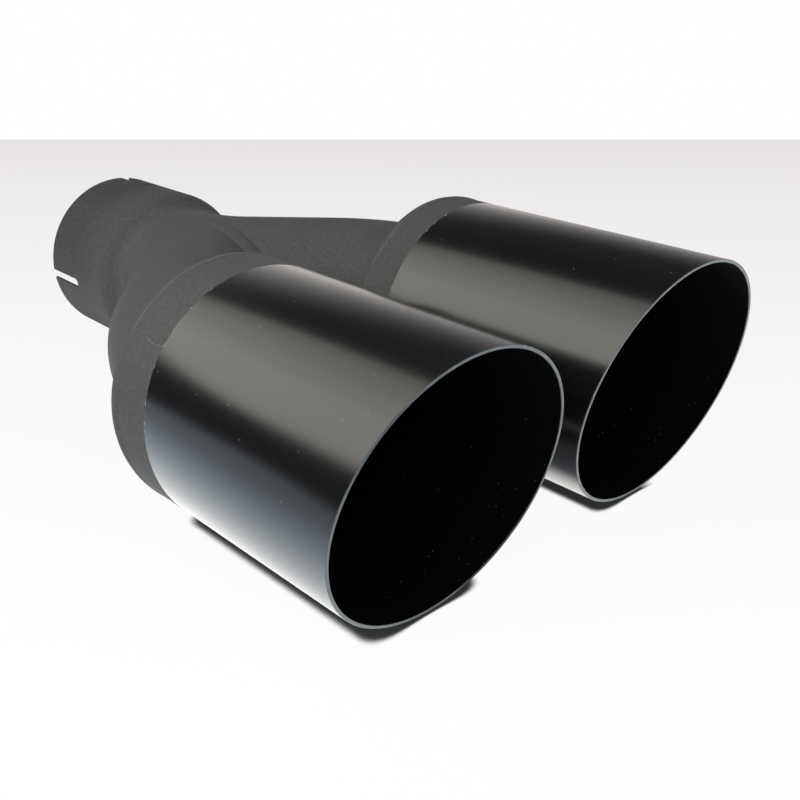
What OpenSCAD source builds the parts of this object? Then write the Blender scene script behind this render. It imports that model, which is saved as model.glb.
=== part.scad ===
// Twin exhaust tip: one slotted inlet sleeve that necks down to a mitred Y of two bent pipes,
// each of which passes through a flat rear cap into a slash-cut outlet tube.
// +X runs from the sleeve's open end towards the mouths, +Z is up, and left is +Y.
// The origin is the centre of the sleeve's open end. All sizes are in millimetres.

/* [Inlet sleeve] */
// Outer diameter of the sleeve
sleeve_od = 78.8; // [76:0.1:84]
// Wall of the sleeve
sleeve_wall = 1.2; // [1:0.1:2]
// Length of the sleeve at its full diameter
sleeve_length = 47; // [38:1:80]
// Length of the shoulder between the sleeve and its collar
shoulder_length = 13; // [10:0.5:20]
// Length of the collar that the pipes are welded to
collar_length = 3; // [3:0.5:10]

/* [Clamp slots] */
// Width of each slot
slot_width = 4.2; // [2:0.1:6]
// Length of each slot from the sleeve's open end
slot_length = 25; // [10:1:36]
// Angle of the first cross cut, from +Y towards +Z
slot_cut_1 = 80; // [75:1:105]
// Angle of the second cross cut, from +Y towards +Z
slot_cut_2 = 3; // [-15:1:15]

/* [Branch pipes] */
// Outer diameter of the pipes and of the sleeve's collar
pipe_od = 68; // [60:0.5:70]
// Wall of the pipes
pipe_wall = 1.2; // [1:0.1:2]
// Straight length of pipe before the first bend
pipe_lead = 3; // [3:0.5:10]
// Angle that each pipe turns outwards, and back again
bend_angle = 40; // [36:1:44]
// Centreline radius of the first bend
bend_1_radius = 50; // [46:1:56]
// Centreline radius of the second bend
bend_2_radius = 72; // [66:1:76]
// Straight length of pipe between the second bend and the cap
pipe_tail = 3.74; // [3:0.01:60]
// Length of pipe that stands inside the outlet, ahead of its rear end
pipe_inside = 8; // [2:1:20]

/* [Outlets] */
// Distance between the two outlet centres
outlet_spacing = 112.2; // [104:0.2:120]
// Outer diameter of the outlets
outlet_od = 100; // [92:0.5:102]
// Wall of the outlets
outlet_wall = 1.2; // [1:0.1:2]
// Length of each outlet along its centreline
outlet_length = 118; // [80:1:180]
// Lean of the slash-cut mouths, the upper lip ahead of the lower
slash_angle = 12.7; // [0:0.1:25]

/* [Rear caps] */
// Thickness of the caps
cap_wall = 1.5; // [1:0.1:2.5]
// Outer radius of the cap's rounded corner
cap_corner = 3; // [2.5:0.1:4]
// Length of the cap's rim between its corner and the outlet
cap_skirt = 2; // [2:0.1:3]

/* [Weld beads] */
// Width of the beads round the butt joints
bead_width = 4; // [3:0.1:4]
// Height of the beads round the butt joints
bead_height = 0.8; // [0.5:0.1:1.2]
// Leg of the fillet bead between each pipe and its cap
fillet_leg = 2.5; // [1.5:0.1:3]
// Width of the bead along the seam between the two pipes
seam_width = 7; // [4:0.5:10]

/* [Hidden] */
$fn = 120;

// Overrun of every cut past the surface that it leaves
cut = 5;
// Angle between the points of a round outline
arc_step = 5;
// How far the cores that cut the seam's bead run past the ends of the pipes' lengths
core_lap = 5;
// Steps round a full turn of those cores, finer because the beads are thin
core_steps = 360;
collar_x = sleeve_length + shoulder_length + collar_length;

// The pipe's centreline: each corner is where one length of it ends and the next begins
bend_1_start = collar_x + pipe_lead;
bend_offset = (bend_1_radius + bend_2_radius) * (1 - cos(bend_angle));
pipe_straight = (outlet_spacing / 2 - bend_offset) / sin(bend_angle);
bend_1_end = [bend_1_start + bend_1_radius * sin(bend_angle), bend_1_radius * (1 - cos(bend_angle)), 0];
bend_2_start = bend_1_end + pipe_straight * [cos(bend_angle), sin(bend_angle), 0];
bend_2_centre = bend_2_start + bend_2_radius * [sin(bend_angle), -cos(bend_angle), 0];
cap_rear = bend_2_centre[0] + pipe_tail;
outlet_rear = cap_rear + cap_corner + cap_skirt;
pipe_end_x = outlet_rear + pipe_inside;
mouth_x = outlet_rear + outlet_length;
mouth_reach = outlet_od / 2 * tan(slash_angle);

// The seam between the pipes runs from the collar's bead, past the end of the first bend, to the fork's point
seam_start = collar_x + bead_width / 2;
seam_turn = bend_1_start + bend_1_radius * tan(bend_angle);
seam_end = bend_1_end[0]
    + (pipe_od / 2 + (seam_width / 2 - bend_1_end[1]) * cos(bend_angle)) / sin(bend_angle);

// The two arcs of the shoulder meet halfway down it, and its wall is even
shoulder_drop = (sleeve_od - pipe_od) / 2;
shoulder_turn = 2 * atan(shoulder_drop / shoulder_length);
shoulder_radius = shoulder_length / 2 / sin(shoulder_turn);

matte_grey = "#4b4a49";
satin_black = "#1b1b1c";
weld_grey = "#5a5857";

// The sleeve's outline as [radius, distance from the open end], set in from the outer surface by depth
function sleeve_outline(depth) = let (r = shoulder_radius, turn = shoulder_turn) concat(
    [[sleeve_od / 2 - depth, 0]],
    [for (a = [0 : arc_step : turn])
        [sleeve_od / 2 - r + (r - depth) * cos(a), sleeve_length + (r - depth) * sin(a)]],
    [for (a = [turn : -arc_step : 0])
        [pipe_od / 2 + r - (r + depth) * cos(a), sleeve_length + shoulder_length - (r + depth) * sin(a)]],
    [[pipe_od / 2 - depth, sleeve_length + shoulder_length], [pipe_od / 2 - depth, collar_x]]);

// How high the left pipe's outer surface stands over the point (x, y), as far as the second bend
function pipe_height(x, y) = let (
    turned = atan2(x - bend_1_start, bend_1_radius - y),
    off = x < bend_1_start ? y
        : turned < bend_angle ? norm([x - bend_1_start, bend_1_radius - y]) - bend_1_radius
        : (x - bend_1_end[0]) * sin(bend_angle) - (y - bend_1_end[1]) * cos(bend_angle))
    sqrt(max(0, pow(pipe_od / 2, 2) - pow(off, 2)));

// The upper edge of the seam's bead as [distance from the open end, height], between two such distances
function seam_edge(start, end) = [for (a = [0 : 2 * arc_step : 90])
    let (x = start + (end - start) * sin(a)) [x, pipe_height(x, seam_width / 2) + bead_height]];

function reversed(points) = [for (i = [len(points) - 1 : -1 : 0]) points[i]];

// Turns an outline of [radius, distance along X] round the X axis
module turned_x() {
    rotate([0, 90, 0]) rotate_extrude() children();
}

// One slot with a round end, cut through both walls of the sleeve along Y
module cross_cut() {
    rotate([90, 0, 0]) linear_extrude(height = sleeve_od + cut, center = true) {
        translate([-cut, -slot_width / 2]) square([slot_length - slot_width / 2 + cut, slot_width]);
        translate([slot_length - slot_width / 2, 0]) circle(d = slot_width);
    }
}

module inlet_sleeve() {
    color(matte_grey) difference() {
        turned_x() polygon(concat(sleeve_outline(0), reversed(sleeve_outline(sleeve_wall))));
        for (angle = [slot_cut_1, slot_cut_2]) rotate([angle, 0, 0]) cross_cut();
    }
}

// A bead with a round crown on a cylinder of the given radius, centred on the joint at X = 0
module butt_bead(radius) {
    crown = (pow(bead_width / 2, 2) + pow(bead_height, 2)) / (2 * bead_height);
    color(weld_grey) turned_x() intersection() {
        translate([radius + bead_height - crown, 0]) circle(r = crown);
        translate([radius, -bead_width / 2]) square([bead_height, bead_width]);
    }
}

module collar_weld() {
    translate([collar_x, 0, 0]) butt_bead(pipe_od / 2);
}

module pipe_ring() {
    difference() {
        circle(d = pipe_od);
        circle(d = pipe_od - 2 * pipe_wall);
    }
}

// A straight length along X, and a bend in the XY plane, of whatever profile they are given
module straight(length) {
    rotate([0, 90, 0]) linear_extrude(height = length) children();
}

module bent(radius, overrun) {
    rotate_extrude(angle = bend_angle + overrun) translate([radius, 0]) children();
}

// The four lengths of the left pipe, of whatever profile they are given
module first_bend(overrun) {
    translate([collar_x, 0, 0]) straight(pipe_lead) children();
    translate([bend_1_start, bend_1_radius, 0]) rotate([0, 0, -90]) bent(bend_1_radius, overrun) children();
}

module middle_pipe(lap) {
    translate(bend_1_end) rotate([0, 0, bend_angle]) translate([-lap, 0, 0])
        straight(lap + pipe_straight) children();
}

module second_bend() {
    translate(bend_2_centre) rotate([0, 0, 90]) bent(bend_2_radius, 0) children();
}

module pipe_end() {
    translate([bend_2_centre[0], outlet_spacing / 2, 0]) straight(pipe_end_x - bend_2_centre[0]) children();
}

// Each pipe is mitred on the plane Y = 0, where it meets the other one
module mitred() {
    color(matte_grey) intersection() {
        children();
        translate([0, 0, -pipe_od]) cube([mouth_x, outlet_spacing, 2 * pipe_od]);
    }
}

// A slab from the plane Y = 0 to the bead's left side, as high and as low as the edge
module seam_slab(edge) {
    rotate([-90, 0, 0]) linear_extrude(height = seam_width / 2)
        polygon(concat(edge, [for (p = reversed(edge)) [p[0], -p[1]]]));
}

// The left half of the beads that fill the valley between the first bends, above and below
module left_half_seam_weld() {
    overrun = core_lap / bend_1_radius * 180 / PI;
    difference() {
        seam_slab(seam_edge(seam_start, seam_turn));
        first_bend(overrun, $fn = core_steps) circle(d = pipe_od, $fn = core_steps);
    }
}

// The left half of the bead that goes on from them and round the fork
module left_half_fork_weld() {
    difference() {
        seam_slab(seam_edge(seam_turn, seam_end));
        middle_pipe(core_lap) circle(d = pipe_od, $fn = core_steps);
    }
}

module seam_weld() {
    color(weld_grey) {
        left_half_seam_weld();
        right_side() left_half_seam_weld();
    }
}

module fork_weld() {
    color(weld_grey) {
        left_half_fork_weld();
        right_side() left_half_fork_weld();
    }
}

// The fillet bead that joins a pipe to the rear face of its cap
module pipe_weld() {
    color(weld_grey) translate([cap_rear, outlet_spacing / 2, 0]) turned_x()
        translate([pipe_od / 2, 0]) intersection() {
            circle(r = fillet_leg);
            translate([0, -fillet_leg]) square(fillet_leg);
        }
}

// A disc with a rounded corner and a short rim, as a half outline
module cap_outline(radius, corner, depth) {
    square([radius - corner, depth]);
    translate([0, corner]) square([radius, depth - corner]);
    translate([radius - corner, corner]) intersection() {
        circle(r = corner);
        translate([0, -corner]) square(corner);
    }
}

module rear_cap() {
    cap_depth = cap_skirt + cap_corner;
    color(matte_grey) translate([cap_rear, outlet_spacing / 2, 0]) turned_x() difference() {
        cap_outline(outlet_od / 2, cap_corner, cap_depth);
        translate([0, cap_wall]) cap_outline(outlet_od / 2 - cap_wall, cap_corner - cap_wall, cap_depth + cut);
        translate([-cut, -cut]) square([pipe_od / 2 + cut, cap_depth + 2 * cut]);
    }
}

module cap_weld() {
    translate([outlet_rear, outlet_spacing / 2, 0]) butt_bead(outlet_od / 2);
}

module outlet() {
    reach = outlet_length + mouth_reach + cut;
    color(satin_black) translate([0, outlet_spacing / 2, 0]) difference() {
        translate([outlet_rear, 0, 0]) turned_x() translate([outlet_od / 2 - outlet_wall, 0])
            square([outlet_wall, reach]);
        translate([mouth_x, 0, 0]) rotate([0, slash_angle, 0]) translate([0, -outlet_od, -outlet_od])
            cube(2 * outlet_od);
    }
}

module right_side() {
    mirror([0, 1, 0]) children();
}

module left_first_bend() { mitred() first_bend(0) pipe_ring(); }
module right_first_bend() { right_side() left_first_bend(); }
module left_middle_pipe() { mitred() middle_pipe(0) pipe_ring(); }
module right_middle_pipe() { right_side() left_middle_pipe(); }
module left_second_bend() { color(matte_grey) second_bend() pipe_ring(); }
module right_second_bend() { right_side() left_second_bend(); }
module left_pipe_end() { color(matte_grey) pipe_end() pipe_ring(); }
module right_pipe_end() { right_side() left_pipe_end(); }
module left_pipe_weld() { pipe_weld(); }
module right_pipe_weld() { right_side() pipe_weld(); }
module left_rear_cap() { rear_cap(); }
module right_rear_cap() { right_side() rear_cap(); }
module left_cap_weld() { cap_weld(); }
module right_cap_weld() { right_side() cap_weld(); }
module left_outlet() { outlet(); }
module right_outlet() { right_side() outlet(); }

inlet_sleeve();
collar_weld();
seam_weld();
fork_weld();
left_first_bend();
right_first_bend();
left_middle_pipe();
right_middle_pipe();
left_second_bend();
right_second_bend();
left_pipe_end();
right_pipe_end();
left_pipe_weld();
right_pipe_weld();
left_rear_cap();
right_rear_cap();
left_cap_weld();
right_cap_weld();
left_outlet();
right_outlet();
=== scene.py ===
"""A welded twin exhaust tip: slotted inlet sleeve, mitred Y of bent pipes, two slash-cut outlets."""

import math

import bmesh
import bpy
from mathutils import Matrix, Vector


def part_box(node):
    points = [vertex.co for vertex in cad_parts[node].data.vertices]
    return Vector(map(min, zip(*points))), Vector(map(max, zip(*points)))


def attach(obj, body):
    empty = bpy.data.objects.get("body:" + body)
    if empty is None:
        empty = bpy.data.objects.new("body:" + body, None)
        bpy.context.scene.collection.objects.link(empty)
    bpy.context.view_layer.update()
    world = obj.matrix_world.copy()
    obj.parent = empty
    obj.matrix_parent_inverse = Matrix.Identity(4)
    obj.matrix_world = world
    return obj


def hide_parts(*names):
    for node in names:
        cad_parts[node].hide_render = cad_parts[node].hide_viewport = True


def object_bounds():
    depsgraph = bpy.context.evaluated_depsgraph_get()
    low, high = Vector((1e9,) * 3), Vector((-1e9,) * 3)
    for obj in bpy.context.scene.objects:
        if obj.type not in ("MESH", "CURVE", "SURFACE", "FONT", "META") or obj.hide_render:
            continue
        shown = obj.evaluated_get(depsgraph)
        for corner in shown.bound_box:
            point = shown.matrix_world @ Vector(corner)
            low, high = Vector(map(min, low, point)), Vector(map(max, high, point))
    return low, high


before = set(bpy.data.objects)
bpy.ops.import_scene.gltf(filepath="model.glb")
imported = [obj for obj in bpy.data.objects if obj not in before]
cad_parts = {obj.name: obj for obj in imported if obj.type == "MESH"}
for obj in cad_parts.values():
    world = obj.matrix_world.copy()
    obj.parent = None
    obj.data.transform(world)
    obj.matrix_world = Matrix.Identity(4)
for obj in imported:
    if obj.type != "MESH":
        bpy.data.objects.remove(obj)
cad_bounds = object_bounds()

# Sizes in millimetres that the frame's boxes don't give
MM = 0.001
SLEEVE_LENGTH = 47
SHOULDER_LENGTH = 13
SLEEVE_WALL = 1.2
SLOT_WIDTH = 4.2
SLOT_LENGTH = 25
SLOT_ANGLES = (80, 3)
# Where the sleeve's faces are divided, from its open end
SLEEVE_ROWS = (12, SLOT_LENGTH, 36)
PIPE_RADIUS = 34
PIPE_WALL = 1.2
PIPE_LEAD = 3
BEND_ANGLE = 40
BEND_1_RADIUS = 50
BEND_2_RADIUS = 72
OUTLET_WALL = 1.2
SLASH_ANGLE = 12.7
CAP_WALL = 1.5
CAP_CORNER = 3
BEAD_WIDTH = 4
BEAD_HEIGHT = 0.8
CAP_BEAD_HEIGHT = 0.35
FILLET_LEG = 2.5
SEAM_WIDTH = 7
# Broken edges, the depth that beads are sunk into their joints, and how unevenly they were laid
EDGE_BREAK = 0.15
BEAD_SINK = 0.1
PUDDLE_LENGTH = 1.9
PUDDLE_DEPTH = 0.12
UNEVENNESS = 0.14
UNEVENNESS_SIZE = 4
# How far a cap's bead leans back, in heights: its front was dressed smooth and its back left steep
CAP_BEAD_LEAN = 1.6
# How far a tube runs past the plane that cuts it, the lip's rounding, and how far off its plane the lip ends
OVERRUN = 2
LIP_ROUNDING = 0.2
LIP_DEPTH = 0.25

# Places that follow from the frame, in metres
sleeve_low, sleeve_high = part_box("inlet_sleeve")
pipe_low, pipe_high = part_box("left_pipe_end")
cap_low, cap_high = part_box("left_rear_cap")
outlet_low, outlet_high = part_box("left_outlet")
SLEEVE_RADIUS = sleeve_high.z
COLLAR_X = sleeve_high.x
PIPE_END = pipe_high.x
CAP_REAR = cap_low.x
OUTLET_REAR = outlet_low.x
OUTLET_RADIUS = outlet_high.z
OUTLET_Y = (outlet_low.y + outlet_high.y) / 2
MOUTH_X = outlet_high.x - OUTLET_RADIUS * math.tan(math.radians(SLASH_ANGLE))
TABLE_Z = cad_bounds[0].z

# How finely round things are divided
ROUND_STEPS = 192
BEND_STEPS = 20
ARC_STEPS = 10


def linear(hex_colour):
    """Turns an sRGB hex value such as "#4a4948" into a linear colour."""
    values = [int(hex_colour[i:i + 2], 16) / 255 for i in (1, 3, 5)]
    return [v / 12.92 if v <= 0.04045 else ((v + 0.055) / 1.055) ** 2.4 for v in values] + [1]


def per(millimetres):
    """The scale of a texture whose features are about as wide as that."""
    return 1 / (millimetres * MM)


def node(tree, kind, inputs=None, **settings):
    """Adds a shader node with its settings, fills or links its inputs by name or number, gives its outputs.

    A Mix node of colours takes its factor at 0 and the two colours at 6 and 7, and gives the result at 2.
    A Map Range node takes its value at 0, where that starts and ends at 1 and 2, and what it gives there
    at 3 and 4.
    """
    made = tree.nodes.new("ShaderNode" + kind)
    for name, value in settings.items():
        setattr(made, name, value)
    for key, value in (inputs or {}).items():
        if isinstance(value, bpy.types.NodeSocket):
            tree.links.new(value, made.inputs[key])
        else:
            made.inputs[key].default_value = value
    return made.outputs


def new_material(name):
    material = bpy.data.materials.new(name)
    material.use_nodes = True
    material.node_tree.nodes.clear()
    return material, material.node_tree, node(material.node_tree, "TexCoord")["Object"]


def lay_surface(tree, colour, roughness, inputs):
    """Ends a material with the surface that has this colour, this roughness and these other inputs."""
    shader = node(tree, "BsdfPrincipled", {"Base Color": colour, "Roughness": roughness, **inputs})
    node(tree, "OutputMaterial", {"Surface": shader[0]})


def specks(tree, place, spacing, size, share):
    """1 inside a round speck and 0 outside it, in that share of the cells. Sizes are in millimetres."""
    cells = node(tree, "TexVoronoi", {"Vector": place, "Scale": per(spacing)})
    lot = node(tree, "SeparateColor", {"Color": cells["Color"]})
    radius = node(tree, "MapRange", {0: lot[1], 3: 0.2 * size / spacing, 4: 0.5 * size / spacing})[0]
    inside = node(tree, "Math", {0: cells["Distance"], 1: radius}, operation="LESS_THAN")[0]
    chosen = node(tree, "Math", {0: lot[0], 1: share}, operation="LESS_THAN")[0]
    return node(tree, "Math", {0: inside, 1: chosen}, operation="MULTIPLY")[0]


# High-temperature exhaust paint, sprayed and dried matte: dark warm grey, a dry grain, no clear reflection.
# Its grain is drawn a little coarser than the real one, which is too fine to show
MATTE_COLOUR = "#504f50"
MATTE_LIGHTER = "#585758"
MATTE_ROUGHNESS = 0.75
MATTE_IOR = 1.35
MATTE_GRAIN = 0.7
MATTE_MOTTLE = 1.3
MATTE_MOTTLED = 0.1
MATTE_CLOUD = 22
# Painted shade darkens the sleeve's end and fades out between these places, in metres from its open end
SLEEVE_SHADE_STRENGTH = 0.4
SLEEVE_SHADE_START = 0.02
SLEEVE_SHADE_END = 0.06
# Satin black stove enamel: nearly black, with soft-edged reflections of the lamps and of the table
ENAMEL_COLOUR = "#0d0d0e"
ENAMEL_LIGHTER = "#121213"
ENAMEL_ROUGHNESS = 0.21
ENAMEL_UNEVEN = 0.02
ENAMEL_DULLED = 0.4
ENAMEL_BUMP = 0.004
ENAMEL_IOR = 1.9
ENAMEL_CLOUD = 30
ENAMEL_FLOW = 45
# Soot-black paint inside, where little light is thrown back
INNER_COLOUR = "#050506"
INNER_DUST = "#6a6b70"
INNER_ROUGHNESS = 0.7
INNER_GRAIN = 1.2
INNER_IOR = 1.12
# The cut lip, where the enamel drew back from the sharp edge, and the steel in its chips
LIP_COLOUR = "#3a4043"
LIP_LIGHTER = "#5f676b"
LIP_METALLIC = 0.5
LIP_ROUGHNESS = 0.38
LIP_STEEL = "#d9d9d4"
LIP_CLOUD = 6
LIP_FLAKE = 2.2
# Dust on the coatings, steel in the chips at the mask line, paint worn over a weld, a scratch, a rubbed crest
# with a painted highlight
DUST_COLOUR = "#8f8e8a"
STEEL_COLOUR = "#b9bcbd"
WORN_COLOUR = "#6a6765"
SCRATCH_COLOUR = "#8d8a8a"
RUBBED_HIGHLIGHT_COLOUR = "#868486"
# Specks of dust: how far apart and how wide they are in millimetres, and the share of places that have one;
# inside, that share goes from low to high up between these heights in millimetres
DUST_ON_MATTE = (3, 0.4, 0.25)
DUST_ON_ENAMEL = (3.4, 0.45, 0.35)
DUST_INSIDE = (2.4, 0.45)
DUST_LOW = 0.7
DUST_HIGH = 0.05
DUST_HEIGHTS = (-40, 5)
# How far the bump of every coating reaches, and the size of the flakes at the mask line and of weld spatter
BUMP_DEPTH = 0.05
FLAKE_SIZE = 1.6
# How far ahead of the mask line its chips reach, in millimetres, from most places to the fewest
CHIP_START = -0.1
CHIP_REACH = 0.7
# The pale line on a cap's bead crest, rubbed paint and a painted highlight, in millimetres: its full and
# faded half width, how far it wanders and in what lengths, and the size of the patches where it shows
RUBBED_HIGHLIGHT_FULL = 0.1
RUBBED_HIGHLIGHT_FADED = 0.35
RUBBED_HIGHLIGHT_WANDER = 0.8
RUBBED_HIGHLIGHT_BEND = 14
RUBBED_HIGHLIGHT_PATCH = 25
RUBBED_HIGHLIGHT_STRENGTH = 0.6
# The hairline scratch on the right outlet: an arc on the unrolled tube, in millimetres along it and round it
SCRATCH_CENTRE = (200.3, -26.5)
SCRATCH_RADIUS = 18.3
SCRATCH_END = -43.8
SCRATCH_FULL = 0.06
SCRATCH_FADED = 0.16
SCRATCH_STRENGTH = 0.6


def matte_look(tree, place):
    """Colour and height of the matte paint: cloudy where it lies thicker, darkened at the sleeve by painted
    shade, dusty, dry.
    """
    clouds = node(tree, "TexNoise", {"Vector": place, "Scale": per(MATTE_CLOUD), "Detail": 3})["Fac"]
    thin, thick = linear(MATTE_COLOUR), linear(MATTE_LIGHTER)
    colour = node(tree, "Mix", {0: clouds, 6: thin, 7: thick}, data_type="RGBA")[2]
    along = node(tree, "SeparateXYZ", {"Vector": place})["X"]
    # Painted shade: towards the sleeve's open end the paint is mixed towards the inner black
    sleeve_shade = node(tree, "MapRange", {0: along, 1: SLEEVE_SHADE_START, 2: SLEEVE_SHADE_END, 3: SLEEVE_SHADE_STRENGTH, 4: 0})[0]
    colour = node(tree, "Mix", {0: sleeve_shade, 6: colour, 7: linear(INNER_COLOUR)}, data_type="RGBA")[2]
    dust = specks(tree, place, *DUST_ON_MATTE)
    colour = node(tree, "Mix", {0: dust, 6: colour, 7: linear(DUST_COLOUR)}, data_type="RGBA")[2]
    mottle = node(tree, "TexNoise", {"Vector": place, "Scale": per(MATTE_MOTTLE), "Detail": 2})["Fac"]
    paler = node(tree, "MapRange", {0: mottle, 1: 0.45, 2: 0.65, 3: 0, 4: MATTE_MOTTLED})[0]
    colour = node(tree, "Mix", {0: paler, 6: colour, 7: linear(DUST_COLOUR)}, data_type="RGBA")[2]
    height = node(tree, "TexNoise", {"Vector": place, "Scale": per(MATTE_GRAIN), "Detail": 3})["Fac"]
    return colour, height


def weld_skin(tree, place, colour, height):
    """The rough skin of a weld under the paint: its spatter stands up and wears pale."""
    spatter = node(tree, "TexNoise", {"Vector": place, "Scale": per(FLAKE_SIZE), "Detail": 4})["Fac"]
    worn = node(tree, "MapRange", {0: spatter, 1: 0.5, 2: 0.8, 3: 0, 4: 0.5})[0]
    colour = node(tree, "Mix", {0: worn, 6: colour, 7: linear(WORN_COLOUR)}, data_type="RGBA")[2]
    return colour, node(tree, "Math", {0: height, 1: spatter}, operation="ADD")[0]


def scratch(tree, place, colour, height):
    """A hairline arc: the points of the unrolled right outlet that lie one radius from the arc's centre."""
    axes = node(tree, "SeparateXYZ", {"Vector": place})
    across = node(tree, "Math", {0: axes["Y"], 1: -OUTLET_Y}, operation="SUBTRACT")[0]
    turn = node(tree, "Math", {0: across, 1: axes["Z"]}, operation="ARCTAN2")[0]
    round_way = node(tree, "Math", {0: turn, 1: OUTLET_RADIUS}, operation="MULTIPLY")[0]
    unrolled = node(tree, "CombineXYZ", {"X": axes["X"], "Y": round_way})[0]
    centre = (SCRATCH_CENTRE[0] * MM, SCRATCH_CENTRE[1] * MM, 0)
    away = node(tree, "VectorMath", {0: unrolled, 1: centre}, operation="DISTANCE")["Value"]
    off = node(tree, "Math", {0: away, 1: SCRATCH_RADIUS * MM}, operation="SUBTRACT")[0]
    off = node(tree, "Math", {0: off}, operation="ABSOLUTE")[0]
    full, faded = SCRATCH_FULL * MM, SCRATCH_FADED * MM
    line = node(tree, "MapRange", {0: off, 1: full, 2: faded, 3: SCRATCH_STRENGTH, 4: 0})[0]
    lower = node(tree, "Math", {0: round_way, 1: SCRATCH_END * MM}, operation="LESS_THAN")[0]
    line = node(tree, "Math", {0: line, 1: lower}, operation="MULTIPLY")[0]
    return node(tree, "Mix", {0: line, 6: colour, 7: linear(SCRATCH_COLOUR)}, data_type="RGBA")[2], height


def rubbed_highlit_crest(tree, place, colour, height):
    """The thin pale line along the crest of a cap's dressed bead, partly rubbed paint and partly a painted
    highlight, that comes and goes.
    """
    along = node(tree, "SeparateXYZ", {"Vector": place})["X"]
    bends = node(tree, "TexNoise", {"Vector": place, "Scale": per(RUBBED_HIGHLIGHT_BEND), "Detail": 2})["Fac"]
    wander = node(tree, "MapRange", {0: bends, 3: -RUBBED_HIGHLIGHT_WANDER * MM, 4: RUBBED_HIGHLIGHT_WANDER * MM})[0]
    off = node(tree, "Math", {0: along, 1: wander}, operation="ADD")[0]
    crest = OUTLET_REAR - CAP_BEAD_LEAN * CAP_BEAD_HEIGHT * MM
    off = node(tree, "Math", {0: off, 1: crest}, operation="SUBTRACT")[0]
    off = node(tree, "Math", {0: off}, operation="ABSOLUTE")[0]
    full, faded = RUBBED_HIGHLIGHT_FULL * MM, RUBBED_HIGHLIGHT_FADED * MM
    # Painted highlight: a pale line along the bead's crest, which also stands for rubbed paint
    line = node(tree, "MapRange", {0: off, 1: full, 2: faded, 3: RUBBED_HIGHLIGHT_STRENGTH, 4: 0})[0]
    patches = node(tree, "TexNoise", {"Vector": place, "Scale": per(RUBBED_HIGHLIGHT_PATCH), "Detail": 2})["Fac"]
    shown = node(tree, "MapRange", {0: patches, 1: 0.35, 2: 0.6, 3: 0, 4: 1})[0]
    line = node(tree, "Math", {0: line, 1: shown}, operation="MULTIPLY")[0]
    return node(tree, "Mix", {0: line, 6: colour, 7: linear(RUBBED_HIGHLIGHT_COLOUR)}, data_type="RGBA")[2], height


def matte_paint(name, change=None, bump=0.3):
    """The paint on sleeve, pipes, caps and rings, as a weld, a scratch or a rubbed crest with its painted
    highlight changes it.
    """
    material, tree, place = new_material(name)
    colour, height = matte_look(tree, place)
    if change:
        colour, height = change(tree, place, colour, height)
    normal = node(tree, "Bump", {"Height": height, "Strength": bump, "Distance": BUMP_DEPTH * MM})[0]
    lay_surface(tree, colour, MATTE_ROUGHNESS, {"IOR": MATTE_IOR, "Normal": normal})
    return material


def enamel(name, mask_line):
    """The satin enamel ahead of the mask line, where it is chipped here and there to the steel."""
    material, tree, place = new_material(name)
    clouds = node(tree, "TexNoise", {"Vector": place, "Scale": per(ENAMEL_CLOUD), "Detail": 2})["Fac"]
    thin, thick = linear(ENAMEL_COLOUR), linear(ENAMEL_LIGHTER)
    colour = node(tree, "Mix", {0: clouds, 6: thin, 7: thick}, data_type="RGBA")[2]
    dust = specks(tree, place, *DUST_ON_ENAMEL)
    colour = node(tree, "Mix", {0: dust, 6: colour, 7: linear(DUST_COLOUR)}, data_type="RGBA")[2]
    along = node(tree, "SeparateXYZ", {"Vector": place})["X"]
    ahead = node(tree, "Math", {0: along, 1: mask_line}, operation="SUBTRACT")[0]
    flakes = node(tree, "TexNoise", {"Vector": place, "Scale": per(FLAKE_SIZE), "Detail": 2})["Fac"]
    start, end = CHIP_START * MM, CHIP_REACH * MM
    reach = node(tree, "MapRange", {0: flakes, 1: 0.55, 2: 0.75, 3: start, 4: end})[0]
    chips = node(tree, "Math", {0: ahead, 1: reach}, operation="LESS_THAN")[0]
    colour = node(tree, "Mix", {0: chips, 6: colour, 7: linear(STEEL_COLOUR)}, data_type="RGBA")[2]
    flow = node(tree, "TexNoise", {"Vector": place, "Scale": per(ENAMEL_FLOW), "Detail": 2})["Fac"]
    low, high = ENAMEL_ROUGHNESS - ENAMEL_UNEVEN, ENAMEL_ROUGHNESS + ENAMEL_UNEVEN
    smooth = node(tree, "MapRange", {0: flow, 3: low, 4: high})[0]
    spoilt = node(tree, "Math", {0: dust, 1: chips}, operation="MAXIMUM")[0]
    dulled = node(tree, "MapRange", {0: spoilt, 3: 0, 4: ENAMEL_DULLED})[0]
    roughness = node(tree, "Math", {0: smooth, 1: dulled}, operation="ADD")[0]
    height = node(tree, "TexNoise", {"Vector": place, "Scale": per(MATTE_GRAIN), "Detail": 3})["Fac"]
    normal = node(tree, "Bump", {"Height": height, "Strength": ENAMEL_BUMP, "Distance": BUMP_DEPTH * MM})[0]
    lay_surface(tree, colour, roughness, {"IOR": ENAMEL_IOR, "Normal": normal})
    return material


def inner_black():
    """Soot-black paint inside the outlets and pipes, with pale dust that lies thicker low down."""
    material, tree, place = new_material("inner_black_paint")
    height = node(tree, "SeparateXYZ", {"Vector": place})["Z"]
    start, end = (place_up * MM for place_up in DUST_HEIGHTS)
    share = node(tree, "MapRange", {0: height, 1: start, 2: end, 3: DUST_LOW, 4: DUST_HIGH})[0]
    dust = specks(tree, place, *DUST_INSIDE, share)
    black, pale = linear(INNER_COLOUR), linear(INNER_DUST)
    colour = node(tree, "Mix", {0: dust, 6: black, 7: pale}, data_type="RGBA")[2]
    soot = node(tree, "TexNoise", {"Vector": place, "Scale": per(INNER_GRAIN), "Detail": 3})["Fac"]
    normal = node(tree, "Bump", {"Height": soot, "Strength": 0.3, "Distance": BUMP_DEPTH * MM})[0]
    lay_surface(tree, colour, INNER_ROUGHNESS, {"IOR": INNER_IOR, "Normal": normal})
    return material


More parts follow.
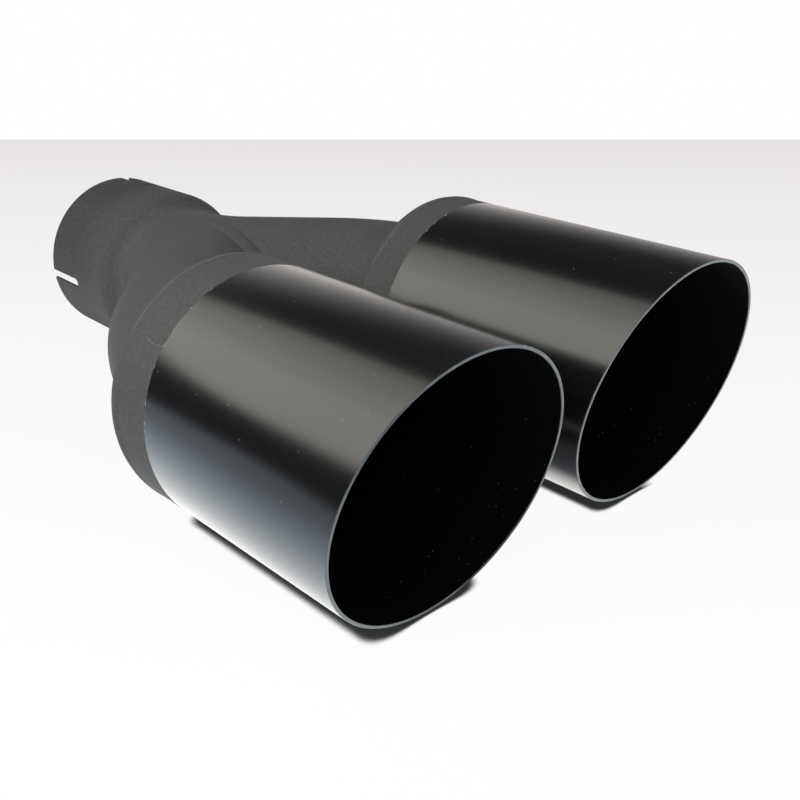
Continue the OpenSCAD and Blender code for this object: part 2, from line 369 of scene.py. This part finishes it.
def coated_lip():
    """The cut lip: enamel thinned on the sharp edge, so that it shines, with steel bare in a few chips."""
    material, tree, place = new_material("thinly_coated_lip")
    thin = node(tree, "TexNoise", {"Vector": place, "Scale": per(LIP_CLOUD), "Detail": 3})["Fac"]
    dark, light = linear(LIP_COLOUR), linear(LIP_LIGHTER)
    colour = node(tree, "Mix", {0: thin, 6: dark, 7: light}, data_type="RGBA")[2]
    flakes = node(tree, "TexNoise", {"Vector": place, "Scale": per(LIP_FLAKE), "Detail": 3})["Fac"]
    chips = node(tree, "MapRange", {0: flakes, 1: 0.72, 2: 0.76, 3: 0, 4: 1})[0]
    colour = node(tree, "Mix", {0: chips, 6: colour, 7: linear(LIP_STEEL)}, data_type="RGBA")[2]
    normal = node(tree, "Bump", {"Height": thin, "Strength": 0.2, "Distance": BUMP_DEPTH * MM})[0]
    lay_surface(tree, colour, LIP_ROUGHNESS, {"Metallic": LIP_METALLIC, "Normal": normal})
    return material


MATTE = matte_paint("matte_exhaust_paint")
SCRATCHED = matte_paint("matte_paint_scratched", scratch)
RUBBED_HIGHLIT = matte_paint("matte_paint_rubbed_highlight", rubbed_highlit_crest)
WELD = matte_paint("matte_paint_over_weld", weld_skin, bump=0.5)
INNER = inner_black()
LIP = coated_lip()


def start_piece(name):
    """Names the primitive just added and puts its place and turn into its mesh."""
    piece = bpy.context.active_object
    piece.name = name
    piece.data.name = name
    bpy.ops.object.transform_apply(location=True, rotation=True, scale=True)
    return piece


def add_ring(name, x, y, radius, steps=ROUND_STEPS):
    """An open ring of edges round the X direction, ready in edit mode."""
    bpy.ops.object.select_all(action="DESELECT")
    bpy.ops.mesh.primitive_circle_add(vertices=steps, radius=radius, fill_type="NOTHING",
                                      location=(x, y, 0), rotation=(0, math.pi / 2, 0))
    piece = start_piece(name)
    bpy.ops.object.mode_set(mode="EDIT")
    bpy.ops.mesh.select_all(action="SELECT")
    return piece


def pull_ring(y, here, there):
    """Extrudes the selected ring along X; here and there are its (x, radius) before and after."""
    bpy.ops.mesh.extrude_region_move(TRANSFORM_OT_translate={"value": (there[0] - here[0], 0, 0)})
    if abs(there[1] - here[1]) > 1e-9:
        ratio = there[1] / here[1]
        bpy.ops.transform.resize(value=(1, ratio, ratio), center_override=(there[0], y, 0))


def turn_outline(name, y, outline, steps=ROUND_STEPS):
    """Carries a ring round a closed outline of (x, radius), which makes the whole turned body."""
    piece = add_ring(name, outline[0][0], y, outline[0][1], steps)
    for here, there in zip(outline, outline[1:] + outline[:1]):
        pull_ring(y, here, there)
    bpy.ops.mesh.select_all(action="SELECT")
    bpy.ops.mesh.remove_doubles(threshold=1e-6)
    bpy.ops.mesh.normals_make_consistent(inside=False)
    bpy.ops.object.mode_set(mode="OBJECT")
    return piece


def arc(middle, radius, start, end):
    """(x, radius) points on an arc; its angles run from +X towards the outside."""
    points = []
    for step in range(ARC_STEPS + 1):
        a = math.radians(start + (end - start) * step / ARC_STEPS)
        points.append((middle[0] + radius * math.cos(a), middle[1] + radius * math.sin(a)))
    return points


def pick(piece, kind, test):
    """In edit mode, selects only the vertices, edges or faces for which test is true."""
    mesh = bmesh.from_edit_mesh(piece.data)
    bpy.context.tool_settings.mesh_select_mode = (kind == "VERT", kind == "EDGE", kind == "FACE")
    mesh.select_mode = {kind}
    for item in (*mesh.faces, *mesh.edges, *mesh.verts):
        item.select_set(False)
    for item in {"VERT": mesh.verts, "EDGE": mesh.edges, "FACE": mesh.faces}[kind]:
        if test(item):
            item.select_set(True)
    mesh.select_flush_mode()
    bmesh.update_edit_mesh(piece.data)


def use_modifier(piece, kind, **settings):
    modifier = piece.modifiers.new(kind.title(), kind)
    for name, value in settings.items():
        setattr(modifier, name, value)
    bpy.ops.object.select_all(action="DESELECT")
    bpy.context.view_layer.objects.active = piece
    piece.select_set(True)
    bpy.ops.object.modifier_apply(modifier=modifier.name)


def lay_unevenly(piece):
    """Sinks a weld bead here and there, as it was laid by hand; nothing rises above its crown."""
    texture = bpy.data.textures.new("hand_laid", "CLOUDS")
    texture.noise_scale = UNEVENNESS_SIZE * MM
    use_modifier(piece, "DISPLACE", texture=texture, strength=UNEVENNESS * MM, mid_level=1)
    bpy.data.textures.remove(texture)


def paint_inside(piece, y):
    """Gives the second material to the faces that look at the axis along X at y."""
    for face in piece.data.polygons:
        out = Vector((0, face.center.y - y, face.center.z)).normalized()
        if face.normal.dot(out) < -0.6:
            face.material_index = 1


def finish_piece(piece, replaced, materials, crease=35):
    """Smooths the piece, gives it its materials, and fixes it to the body."""
    bpy.ops.object.select_all(action="DESELECT")
    bpy.context.view_layer.objects.active = piece
    piece.select_set(True)
    bpy.ops.object.shade_smooth_by_angle(angle=math.radians(crease))
    if not piece.data.materials:
        for material in materials:
            piece.data.materials.append(material)
    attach(piece, "root")
    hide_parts(*([replaced] if isinstance(replaced, str) else replaced))


def shoulder_outline(depth):
    """(x, radius) down the shoulder, set in by depth: two arcs that meet halfway and keep the wall even."""
    drop = SLEEVE_RADIUS - PIPE_RADIUS * MM
    length = SHOULDER_LENGTH * MM
    turn = 2 * math.degrees(math.atan(drop / length))
    radius = length / 2 / math.sin(math.radians(turn))
    start = SLEEVE_LENGTH * MM
    crest = arc((start, SLEEVE_RADIUS - radius), radius - depth, 90, 90 - turn)
    foot = arc((start + length, PIPE_RADIUS * MM + radius), radius + depth, 270 - turn, 270)
    return crest + foot[1:]


def make_sleeve():
    wall = SLEEVE_WALL * MM
    rows = [row * MM for row in SLEEVE_ROWS]
    outer = [(0, SLEEVE_RADIUS), *[(x, SLEEVE_RADIUS) for x in rows], *shoulder_outline(0),
             (COLLAR_X, PIPE_RADIUS * MM)]
    inner = [(COLLAR_X, PIPE_RADIUS * MM - wall), *reversed(shoulder_outline(wall)),
             *[(x, SLEEVE_RADIUS - wall) for x in reversed(rows)], (0, SLEEVE_RADIUS - wall)]
    piece = turn_outline("sleeve_body", 0, outer + inner)
    for angle in SLOT_ANGLES:
        cut_slots(piece, angle)
    use_modifier(piece, "BEVEL", width=EDGE_BREAK * MM, segments=1, limit_method="ANGLE",
                 angle_limit=math.radians(50))
    finish_piece(piece, "inlet_sleeve", [MATTE, INNER])
    paint_inside(piece, 0)


def cut_slots(sleeve, angle):
    """One cross cut with a round end through both walls of the sleeve."""
    bpy.ops.object.select_all(action="DESELECT")
    bpy.ops.mesh.primitive_cube_add(size=1)
    cutter = bpy.context.active_object
    overrun = SLOT_WIDTH * MM
    cutter.scale = (SLOT_LENGTH * MM + overrun, 3 * SLEEVE_RADIUS, SLOT_WIDTH * MM)
    cutter.location = ((SLOT_LENGTH * MM - overrun) / 2, 0, 0)
    start_piece("slot_cutter")
    bpy.ops.object.mode_set(mode="EDIT")
    end = SLOT_LENGTH * MM
    pick(cutter, "EDGE", lambda e: all(abs(v.co.x - end) < 1e-6 for v in e.verts)
         and abs(e.verts[0].co.z - e.verts[1].co.z) < 1e-6)
    bpy.ops.mesh.bevel(offset=SLOT_WIDTH * MM * 0.499, segments=10, affect="EDGES")
    bpy.ops.object.mode_set(mode="OBJECT")
    cutter.rotation_euler = (math.radians(angle), 0, 0)
    bpy.ops.object.transform_apply(location=True, rotation=True, scale=True)
    use_modifier(sleeve, "BOOLEAN", object=cutter, operation="DIFFERENCE", solver="EXACT")
    bpy.data.objects.remove(cutter)


def make_pipe(side, name, replaced):
    """A bent pipe: lead, bend, slanted length, bend back, end; mitred on the plane between the two."""
    turn = math.radians(BEND_ANGLE)
    radius_1, radius_2 = BEND_1_RADIUS * MM, BEND_2_RADIUS * MM
    offset = (radius_1 + radius_2) * (1 - math.cos(turn))
    slanted = (OUTLET_Y - offset) / math.sin(turn)
    bend_1 = Vector((COLLAR_X + PIPE_LEAD * MM, side * radius_1, 0))
    slant = Vector((math.cos(turn), side * math.sin(turn), 0)) * slanted
    bend_1_end = bend_1 + Vector((math.sin(turn), -side * math.cos(turn), 0)) * radius_1
    bend_2 = bend_1_end + slant + Vector((math.sin(turn), -side * math.cos(turn), 0)) * radius_2
    piece = add_ring(name, COLLAR_X, 0, PIPE_RADIUS * MM)
    bpy.ops.mesh.extrude_region_move(TRANSFORM_OT_translate={"value": (PIPE_LEAD * MM, 0, 0)})
    bpy.ops.mesh.spin(steps=BEND_STEPS, angle=-side * turn, center=bend_1, axis=(0, 0, 1))
    bpy.ops.mesh.extrude_region_move(TRANSFORM_OT_translate={"value": slant})
    bpy.ops.mesh.spin(steps=BEND_STEPS, angle=side * turn, center=bend_2, axis=(0, 0, 1))
    bpy.ops.mesh.extrude_region_move(TRANSFORM_OT_translate={"value": (PIPE_END - bend_2.x, 0, 0)})
    bpy.ops.mesh.select_all(action="SELECT")
    bpy.ops.mesh.remove_doubles(threshold=1e-7)
    bpy.ops.mesh.normals_make_consistent(inside=False)
    bpy.ops.object.mode_set(mode="OBJECT")
    piece.data.materials.append(MATTE)
    piece.data.materials.append(INNER)
    use_modifier(piece, "SOLIDIFY", thickness=PIPE_WALL * MM, offset=-1, use_even_offset=True,
                 material_offset=1)
    bpy.ops.object.mode_set(mode="EDIT")
    bpy.ops.mesh.select_all(action="SELECT")
    bpy.ops.mesh.bisect(plane_co=(0, 0, 0), plane_no=(0, side, 0), use_fill=True, clear_inner=True)
    bpy.ops.object.mode_set(mode="OBJECT")
    finish_piece(piece, replaced, [MATTE, INNER])


def make_cap(side, name, replaced):
    """A pressed cap: flat ring on the pipe, rounded corner, short rim that meets the outlet."""
    radius, wall, corner = OUTLET_RADIUS, CAP_WALL * MM, CAP_CORNER * MM
    turned = (CAP_REAR + corner, radius - corner)
    outer = [(OUTLET_REAR, radius), *arc(turned, corner, 90, 180)]
    inner = [*arc(turned, corner - wall, 180, 90), (OUTLET_REAR, radius - wall)]
    bore = [(CAP_REAR, PIPE_RADIUS * MM), (CAP_REAR + wall, PIPE_RADIUS * MM)]
    piece = turn_outline(name, side * OUTLET_Y, outer + bore + inner)
    finish_piece(piece, replaced, [MATTE])


def make_outlet(side, name, replaced, mask_line, coat, ring):
    """A tube cut off on the slash plane, then its lip, its inner wall and its rear end, in one sheet."""
    y = side * OUTLET_Y
    slash = math.radians(SLASH_ANGLE)
    plane = Vector((math.cos(slash), 0, -math.sin(slash)))
    mouth = Vector((MOUTH_X, y, 0))
    piece = add_ring(name, OUTLET_REAR, y, OUTLET_RADIUS)
    pull_ring(y, (OUTLET_REAR, OUTLET_RADIUS), (mask_line, OUTLET_RADIUS))
    pull_ring(y, (mask_line, OUTLET_RADIUS), (outlet_high.x + OVERRUN * MM, OUTLET_RADIUS))
    bpy.ops.mesh.select_all(action="SELECT")
    bpy.ops.mesh.bisect(plane_co=mouth, plane_no=plane, use_fill=False, clear_outer=True)
    pick(piece, "EDGE", lambda e: all(abs((v.co - mouth).dot(plane)) < 1e-6 for v in e.verts))
    inner = 1 - OUTLET_WALL * MM / OUTLET_RADIUS
    bpy.ops.mesh.extrude_region_move()
    bpy.ops.transform.resize(value=(inner, inner, inner), center_override=mouth)
    bpy.ops.mesh.extrude_region_move()
    bpy.ops.transform.resize(value=(0, 1, 1), center_override=(OUTLET_REAR, y, 0))
    bpy.ops.mesh.extrude_region_move()
    bpy.ops.transform.resize(value=(1, 1 / inner, 1 / inner), center_override=(OUTLET_REAR, y, 0))
    bpy.ops.mesh.select_all(action="SELECT")
    bpy.ops.mesh.remove_doubles(threshold=1e-6)
    bpy.ops.mesh.normals_make_consistent(inside=False)
    pick(piece, "EDGE", lambda e: all(abs((v.co - mouth).dot(plane)) < 1e-6 for v in e.verts)
         and e.calc_face_angle(0) > math.radians(40))
    bpy.ops.mesh.bevel(offset=LIP_ROUNDING * MM, segments=3, affect="EDGES")
    bpy.ops.object.mode_set(mode="OBJECT")
    finish_piece(piece, replaced, [coat, INNER, LIP, ring], 50)
    for face in piece.data.polygons:
        centre = face.center - mouth
        if abs(centre.dot(plane)) < LIP_DEPTH * MM:
            face.material_index = 2
        elif math.hypot(centre.y, centre.z) < OUTLET_RADIUS - OUTLET_WALL * MM / 2:
            face.material_index = 1
        elif face.center.x < mask_line:
            face.material_index = 3


def lay_puddles(piece, x, y, radius, steps):
    """Sinks every third row across a ring bead, which leaves the steps of its puddles, then all unevenly."""
    bpy.context.view_layer.objects.active = piece
    bpy.ops.object.mode_set(mode="EDIT")
    pick(piece, "VERT", lambda v: round(math.atan2(v.co.z, v.co.y - y) / math.tau * steps) % 3 == 0)
    ratio = 1 - PUDDLE_DEPTH * MM / radius
    bpy.ops.transform.resize(value=(1, ratio, ratio), center_override=(x, y, 0))
    bpy.ops.object.mode_set(mode="OBJECT")
    lay_unevenly(piece)


def puddle_rows(radius):
    """Rows round a bead: three for each puddle."""
    return 3 * round(math.tau * radius / (PUDDLE_LENGTH * MM))


def make_bead(name, x, y, radius, replaced, height, lean, material):
    """The bead round a butt joint: a low round crown, sunk a little, that leans back by lean times height."""
    half, height = BEAD_WIDTH / 2 * MM, height * MM
    crown = (half ** 2 + height ** 2) / 2 / height
    spread = math.degrees(math.asin(half / crown))
    outline = arc((x, radius + height - crown), crown, 90 - spread, 90 + spread)
    outline = [(px - lean * (out - radius), out) for px, out in outline]
    sunk = radius - BEAD_SINK * MM
    steps = puddle_rows(radius)
    piece = turn_outline(name, y, [*outline, (x - half, sunk), (x + half, sunk)], steps)
    if lean:
        lay_unevenly(piece)
    else:
        lay_puddles(piece, x, y, radius, steps)
    finish_piece(piece, replaced, [material], 60)


def make_fillet(name, y, replaced):
    """The fillet bead in the corner between a pipe and the rear face of its cap."""
    radius, leg, sink = PIPE_RADIUS * MM, FILLET_LEG * MM, BEAD_SINK * MM
    outline = arc((CAP_REAR, radius), leg, 90, 180)
    front = CAP_REAR + sink
    outline += [(CAP_REAR - leg, radius - sink), (front, radius - sink), (front, radius + leg)]
    steps = puddle_rows(radius)
    piece = turn_outline(name, y, outline, steps)
    lay_puddles(piece, CAP_REAR, y, radius, steps)
    finish_piece(piece, replaced, [WELD], 60)


def pipe_height(x, y):
    """How high a pipe's outer surface stands over a point before its second bend, in millimetres."""
    turn = math.radians(BEND_ANGLE)
    start = COLLAR_X / MM + PIPE_LEAD
    if x < start:
        off = y
    elif math.atan2(x - start, BEND_1_RADIUS - y) < turn:
        off = math.hypot(x - start, BEND_1_RADIUS - y) - BEND_1_RADIUS
    else:
        off = (x - start) * math.sin(turn) + (BEND_1_RADIUS - y) * math.cos(turn) - BEND_1_RADIUS
    return math.sqrt(max(0, PIPE_RADIUS ** 2 - off ** 2))


def seam_path():
    """Points of the seam's bead from the collar over the top, round the fork and back below, in metres."""
    turn = math.radians(BEND_ANGLE)
    start = COLLAR_X / MM + 0.5
    reach = PIPE_RADIUS + BEND_1_RADIUS - (BEND_1_RADIUS - SEAM_WIDTH / 2) * math.cos(turn)
    end = COLLAR_X / MM + PIPE_LEAD + reach / math.sin(turn)
    steps = 3 * round(1.25 * (end - start) * 2 / PUDDLE_LENGTH)
    points = []
    for step in range(steps + 1):
        a = math.pi * step / steps
        x = start + (end - start) * math.sin(a)
        height = math.copysign(pipe_height(x, SEAM_WIDTH / 2), math.cos(a))
        points.append(Vector((x * MM, 0, height * MM)))
    return points


def make_seam_bead():
    """A broad flat bead along the seam of the two pipes: a flat round section carried along its path."""
    points = seam_path()
    bpy.ops.object.select_all(action="DESELECT")
    bpy.ops.mesh.primitive_circle_add(vertices=28, radius=SEAM_WIDTH / 2 * MM, fill_type="NGON",
                                      location=points[0], rotation=(0, math.pi / 2, 0))
    piece = start_piece("seam_bead")
    bpy.ops.object.mode_set(mode="EDIT")
    bpy.ops.mesh.select_all(action="SELECT")
    bpy.ops.transform.resize(value=(1, 1, 2 * BEAD_HEIGHT / SEAM_WIDTH), center_override=points[0])
    heading = 0
    for step in range(1, len(points)):
        ahead = points[min(step + 1, len(points) - 1)] - points[step - 1]
        new_heading = math.atan2(-ahead.z, ahead.x)
        bpy.ops.mesh.extrude_region_move(TRANSFORM_OT_translate={"value": points[step] - points[step - 1]})
        bpy.ops.transform.rotate(value=heading - new_heading, orient_axis="Y", center_override=points[step])
        heading = new_heading
        ratio = 1 - PUDDLE_DEPTH / BEAD_HEIGHT
        if step % 3 == 0:
            bpy.ops.transform.resize(value=(ratio, 1, ratio), center_override=points[step])
        elif step % 3 == 1 and step > 1:
            bpy.ops.transform.resize(value=(1 / ratio, 1, 1 / ratio), center_override=points[step])
    bpy.ops.mesh.select_all(action="SELECT")
    bpy.ops.mesh.normals_make_consistent(inside=False)
    bpy.ops.object.mode_set(mode="OBJECT")
    lay_unevenly(piece)
    finish_piece(piece, ["seam_weld", "fork_weld"], [MATTE], 60)


# The viewpoint, found from the two mouths: place in metres, angles in degrees
CAMERA_PLACE = (0.502567, -0.255233, 0.162564)
CAMERA_YAW = 138.108
CAMERA_PITCH = -24.965
CAMERA_ROLL = -1.432
CAMERA_FOCAL_PIXELS = 1053.884
PICTURE_PIXELS = 800
SENSOR_WIDTH = 36


def make_camera():
    yaw, pitch, roll = (math.radians(a) for a in (CAMERA_YAW, CAMERA_PITCH, CAMERA_ROLL))
    ahead = Vector((math.cos(pitch) * math.cos(yaw), math.cos(pitch) * math.sin(yaw), math.sin(pitch)))
    level = ahead.cross(Vector((0, 0, 1))).normalized()
    upright = level.cross(ahead)
    right = level * math.cos(roll) + upright * math.sin(roll)
    up = upright * math.cos(roll) - level * math.sin(roll)
    data = bpy.data.cameras.new("camera")
    data.sensor_width = SENSOR_WIDTH
    data.lens = CAMERA_FOCAL_PIXELS * SENSOR_WIDTH / PICTURE_PIXELS
    data.clip_start = 0.01
    camera = bpy.data.objects.new("camera", data)
    camera.matrix_world = Matrix.Translation(CAMERA_PLACE) @ Matrix((right, up, -ahead)).transposed().to_4x4()
    bpy.context.collection.objects.link(camera)
    bpy.context.scene.camera = camera


# Softboxes hang level over the part, long in X: each has its height, its near and far edge in Y and its
# radiance. Their far edges are staggered, so that the light fades towards the far side
LAMP_X = 0.2
LAMP_LENGTH = 2.8
LAMP_COLOUR = (1.0, 0.98, 0.90)
LAMPS = ((0.565, -1.5, -0.03, 0.93), (0.555, -1.2, -0.13, 0.26), (0.545, -1.2, -0.24, 0.28),
         (0.535, -1.2, -0.36, 0.26))


def make_lights():
    for height, near_y, far_y, radiance in LAMPS:
        data = bpy.data.lights.new("softbox", "AREA")
        data.shape = "RECTANGLE"
        data.size, data.size_y = LAMP_LENGTH, far_y - near_y
        data.energy = radiance * math.pi * data.size * data.size_y
        data.color = LAMP_COLOUR
        lamp = bpy.data.objects.new("softbox", data)
        lamp.location = (LAMP_X, (far_y + near_y) / 2, height)
        lamp.visible_camera = False
        bpy.context.collection.objects.link(lamp)


# The room's light, linear: dim on the near and far side, cool in front, and the wall's
ROOM_NEAR = (0.02, 0.021, 0.024, 1)
ROOM_FAR = (0.07, 0.07, 0.075, 1)
FRONT_LIGHT = (0.42, 0.48, 0.62, 1)
PALE_WALL = (1.12, 1.08, 1.04, 1)


def make_world():
    """A dim studio: a pale wall low on the far side, cool light in front. The camera sees it white."""
    world = bpy.data.worlds.new("studio")
    bpy.context.scene.world = world
    world.use_nodes = True
    tree = world.node_tree
    tree.nodes.clear()
    axes = node(tree, "SeparateXYZ", {"Vector": node(tree, "TexCoord")["Generated"]})
    low = node(tree, "MapRange", {0: axes["Z"], 1: 0.05, 2: 0.6, 3: 1, 4: 0})[0]
    far = node(tree, "MapRange", {0: axes["Y"], 1: 0, 2: 0.5, 3: 0, 4: 1})[0]
    aside = node(tree, "MapRange", {0: axes["X"], 1: -0.73, 2: -0.55, 3: 1, 4: 0.6})[0]
    front = node(tree, "MapRange", {0: axes["X"], 1: 0.1, 2: 0.8, 3: 0, 4: 1})[0]
    wall = node(tree, "Math", {0: low, 1: far}, operation="MULTIPLY")[0]
    wall = node(tree, "Math", {0: wall, 1: aside}, operation="MULTIPLY")[0]
    glow = node(tree, "Mix", {0: far, 6: ROOM_NEAR, 7: ROOM_FAR}, data_type="RGBA")[2]
    glow = node(tree, "Mix", {0: front, 6: glow, 7: FRONT_LIGHT}, data_type="RGBA")[2]
    glow = node(tree, "Mix", {0: wall, 6: glow, 7: PALE_WALL}, data_type="RGBA")[2]
    camera = node(tree, "LightPath")["Is Camera Ray"]
    colour = node(tree, "Mix", {0: camera, 6: glow, 7: (1, 1, 1, 1)}, data_type="RGBA")[2]
    node(tree, "OutputWorld", {"Surface": node(tree, "Background", {"Color": colour})[0]})


# The table: the direction that it runs in, how far it reaches from under the camera, and to either side
TABLE_TURN = 130.91
TABLE_NEAR = 0.10
TABLE_FAR = 1.0812
TABLE_SIDE = 0.9
# Its colour in plain light, in what is glossy, and under what is lifted for the camera
TABLE_COLOUR = "#f2f1f2"
TABLE_MIRRORED = "#b4bcc7"
TABLE_LIFTED = "#333334"
TABLE_ROUGHNESS = 0.8
TABLE_IOR = 1.1
# What is lifted is white with these tints: near and far for the camera, far and near where it is mirrored
SEEN_NEAR = (1, 1, 0.985, 1)
SEEN_FAR = (1, 0.96, 0.99, 1)
MIRRORED_FAR = (0.75, 1.0, 1.2, 1)
MIRRORED_NEAR = (1.0, 1.0, 0.96, 1)
# How far up the contact shadow looks for the part, by the near outlet and by the far one
CONTACT_NEAR = 0.0099
CONTACT_FAR = 0.0064
# What is left of the light there, and where past the far outlet's middle the shadow ends, in metres
CONTACT_LIGHT = 0.022
CONTACT_PAST = (0.006, 0.014)
# Painted light on the table as it is mirrored: how bright it is, how fast that fades away from the part, and
# the painted shade between the outlets, where little of it is left; that strip starts and ends over these
# places, in metres across
GLOSS = 1.85
GLOSS_FADING = 3.7
GLOSS_SHADED_BETWEEN = 0.05
SHADE_BETWEEN_START = (-0.05, -0.035)
SHADE_BETWEEN_END = (0.008, 0.02)


def table_shadow(tree, across):
    """1 where the table lies open and almost 0 close under the part; past the far outlet it stays open."""
    reach = node(tree, "MapRange", {0: across, 1: -OUTLET_Y, 2: OUTLET_Y, 3: CONTACT_NEAR, 4: CONTACT_FAR})[0]
    sky = node(tree, "AmbientOcclusion", {"Distance": reach}, samples=32)["AO"]
    lit = node(tree, "MapRange", {0: sky, 1: 0.52, 2: 0.67, 3: CONTACT_LIGHT, 4: 1})[0]
    start, end = (OUTLET_Y + further for further in CONTACT_PAST)
    past = node(tree, "MapRange", {0: across, 1: start, 2: end, 3: 0, 4: 1})[0]
    return node(tree, "Math", {0: lit, 1: past}, operation="MAXIMUM")[0]


def painted_table_gloss(tree, across, near_part):
    """How bright the table is mirrored, as painted light: full on the near side and fading away, with painted
    shade between the outlets.
    """
    bright = node(tree, "Math", {0: near_part, 1: GLOSS_FADING}, operation="POWER")[0]
    bright = node(tree, "Math", {0: bright, 1: GLOSS}, operation="MULTIPLY")[0]
    # Painted shade: the strip of table between the outlets, which the near outlet shades, is kept dark where
    # it is mirrored
    start, end = SHADE_BETWEEN_START
    before = node(tree, "MapRange", {0: across, 1: start, 2: end, 3: 1, 4: GLOSS_SHADED_BETWEEN})[0]
    start, end = SHADE_BETWEEN_END
    beyond = node(tree, "MapRange", {0: across, 1: start, 2: end, 3: 0, 4: 1})[0]
    shaded_strip = node(tree, "Math", {0: before, 1: beyond}, operation="MAXIMUM")[0]
    return node(tree, "Math", {0: bright, 1: shaded_strip}, operation="MULTIPLY")[0]


def white_table(foot, ahead):
    """Matte white board, whose white the camera and what is glossy see without more light on the part."""
    material, tree, place = new_material("white_table")
    rays = node(tree, "LightPath")
    camera = rays["Is Camera Ray"]
    glossy, through = rays["Is Glossy Ray"], rays["Is Transmission Ray"]
    mirrored = node(tree, "Math", {0: glossy, 1: through}, operation="MAXIMUM")[0]
    plain, dimmer = linear(TABLE_COLOUR), linear(TABLE_MIRRORED)
    colour = node(tree, "Mix", {0: mirrored, 6: plain, 7: dimmer}, data_type="RGBA")[2]
    colour = node(tree, "Mix", {0: camera, 6: colour, 7: linear(TABLE_LIFTED)}, data_type="RGBA")[2]
    from_foot = node(tree, "VectorMath", {0: place, 1: foot}, operation="SUBTRACT")[0]
    away = node(tree, "VectorMath", {0: from_foot, 1: ahead}, operation="DOT_PRODUCT")["Value"]
    across = node(tree, "SeparateXYZ", {"Vector": place})["Y"]
    near_part = node(tree, "MapRange", {0: across, 1: -0.40, 2: -0.10, 3: 0, 4: 1})[0]
    shown = node(tree, "MapRange", {0: away, 1: 0.25, 2: TABLE_FAR, 3: 0.975, 4: 0.77})[0]
    shown = node(tree, "Math", {0: camera, 1: shown}, operation="MULTIPLY")[0]
    glossed = painted_table_gloss(tree, across, near_part)
    glossed = node(tree, "Math", {0: mirrored, 1: glossed}, operation="MULTIPLY")[0]
    lift = node(tree, "Math", {0: shown, 1: glossed}, operation="ADD")[0]
    lift = node(tree, "Math", {0: lift, 1: table_shadow(tree, across)}, operation="MULTIPLY")[0]
    back = node(tree, "MapRange", {0: away, 1: 0.4, 2: TABLE_FAR, 3: 0, 4: 1})[0]
    tint = node(tree, "Mix", {0: back, 6: SEEN_NEAR, 7: SEEN_FAR}, data_type="RGBA")[2]
    nearest = node(tree, "Math", {0: near_part, 1: 4}, operation="POWER")[0]
    cool = node(tree, "Mix", {0: nearest, 6: MIRRORED_FAR, 7: MIRRORED_NEAR}, data_type="RGBA")[2]
    glow = node(tree, "Mix", {0: mirrored, 6: tint, 7: cool}, data_type="RGBA")[2]
    lifted = {"Emission Color": glow, "Emission Strength": lift}
    lay_surface(tree, colour, TABLE_ROUGHNESS, {"IOR": TABLE_IOR, **lifted})
    return material


def make_table():
    """A white table that ends behind the part."""
    turn = math.radians(TABLE_TURN)
    ahead = Vector((math.cos(turn), math.sin(turn), 0))
    foot = Vector((CAMERA_PLACE[0], CAMERA_PLACE[1], TABLE_Z))
    bpy.ops.object.select_all(action="DESELECT")
    bpy.ops.mesh.primitive_plane_add(size=1, location=foot + ahead * (TABLE_NEAR + TABLE_FAR) / 2,
                                     rotation=(0, 0, turn))
    table = bpy.context.active_object
    table.scale = (TABLE_FAR - TABLE_NEAR, 2 * TABLE_SIDE, 1)
    start_piece("table_top")
    table.data.materials.append(white_table(foot, ahead))


bpy.context.scene.view_settings.view_transform = "Standard"
make_camera()
make_lights()
make_world()
make_table()

make_sleeve()
make_bead("collar_weld_bead", COLLAR_X, 0, PIPE_RADIUS * MM, "collar_weld", BEAD_HEIGHT, 0, WELD)
make_seam_bead()
# Where the mask line runs round each outlet, in metres from the sleeve's open end, and the paint behind it
for side, hand, mask_line, ring in ((1, "left", 0.2006, MATTE), (-1, "right", 0.2058, SCRATCHED)):
    lengths = [hand + "_first_bend", hand + "_middle_pipe", hand + "_second_bend", hand + "_pipe_end"]
    make_pipe(side, hand + "_branch", lengths)
    make_cap(side, hand + "_cap_plate", hand + "_rear_cap")
    coat = enamel("satin_enamel_" + hand, mask_line)
    make_outlet(side, hand + "_outlet_tube", hand + "_outlet", mask_line, coat, ring)
    make_bead(hand + "_cap_bead", OUTLET_REAR, side * OUTLET_Y, OUTLET_RADIUS, hand + "_cap_weld",
              CAP_BEAD_HEIGHT, CAP_BEAD_LEAN, RUBBED_HIGHLIT)
    make_fillet(hand + "_pipe_fillet", side * OUTLET_Y, hand + "_pipe_weld")
